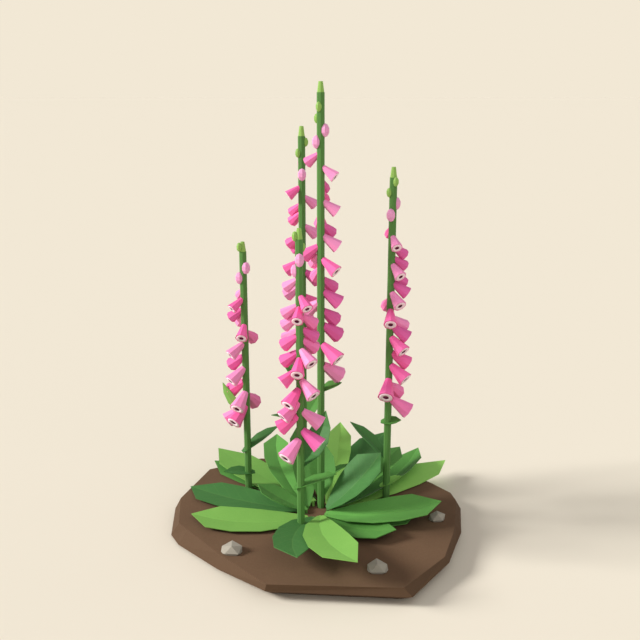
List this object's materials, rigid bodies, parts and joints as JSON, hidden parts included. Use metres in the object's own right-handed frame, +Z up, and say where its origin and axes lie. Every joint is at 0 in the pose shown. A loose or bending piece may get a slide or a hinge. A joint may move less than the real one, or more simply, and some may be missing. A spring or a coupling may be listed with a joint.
{
  "type": "foxglove clump in bloom",
  "caption": "Clump of foxglove in bloom: tall flower spikes with drooping bells over a rosette of broad leaves, on a thin slab of soil with stones.",
  "frame": {"origin": "on the underside, under the middle of the whole clump's box", "axes": "+Z up along the stems, +X to the right and +Y away, as the plant is seen from its front"},
  "size_m": [0.707, 0.698, 1.042],
  "materials": {
    "soil": "dull brown soil, dry and matt",
    "stone": "pale grey stone, matt",
    "flower": "pink bells with a pale ring and a maroon throat on a green stem, matt",
    "leaf_light": "light green leaf, softly matt",
    "leaf_mid": "mid green leaf, softly matt",
    "leaf_dark": "dark green leaf, softly matt"
  },
  "bodies": {
    "root": {"soil_slab": "soil", "stone_front_left": "stone", "stone_front": "stone", "stone_right": "stone", "stone_back_left": "stone", "stone_back_right": "stone", "spike_tall": "flower", "spike_right": "flower", "spike_left": "flower", "spike_back": "flower", "spike_front": "flower", "rosette_leaf_01": "leaf_light", "rosette_leaf_02": "leaf_mid", "rosette_leaf_03": "leaf_mid", "rosette_leaf_04": "leaf_dark", "rosette_leaf_05": "leaf_light", "rosette_leaf_06": "leaf_light", "rosette_leaf_07": "leaf_mid", "rosette_leaf_08": "leaf_mid", "rosette_leaf_09": "leaf_mid", "rosette_leaf_10": "leaf_light", "rosette_leaf_11": "leaf_mid", "rosette_leaf_12": "leaf_mid", "rosette_leaf_13": "leaf_dark", "rosette_leaf_14": "leaf_dark", "rosette_leaf_15": "leaf_light", "rosette_leaf_16": "leaf_mid", "rosette_leaf_17": "leaf_mid"}
  },
  "joints": []
}
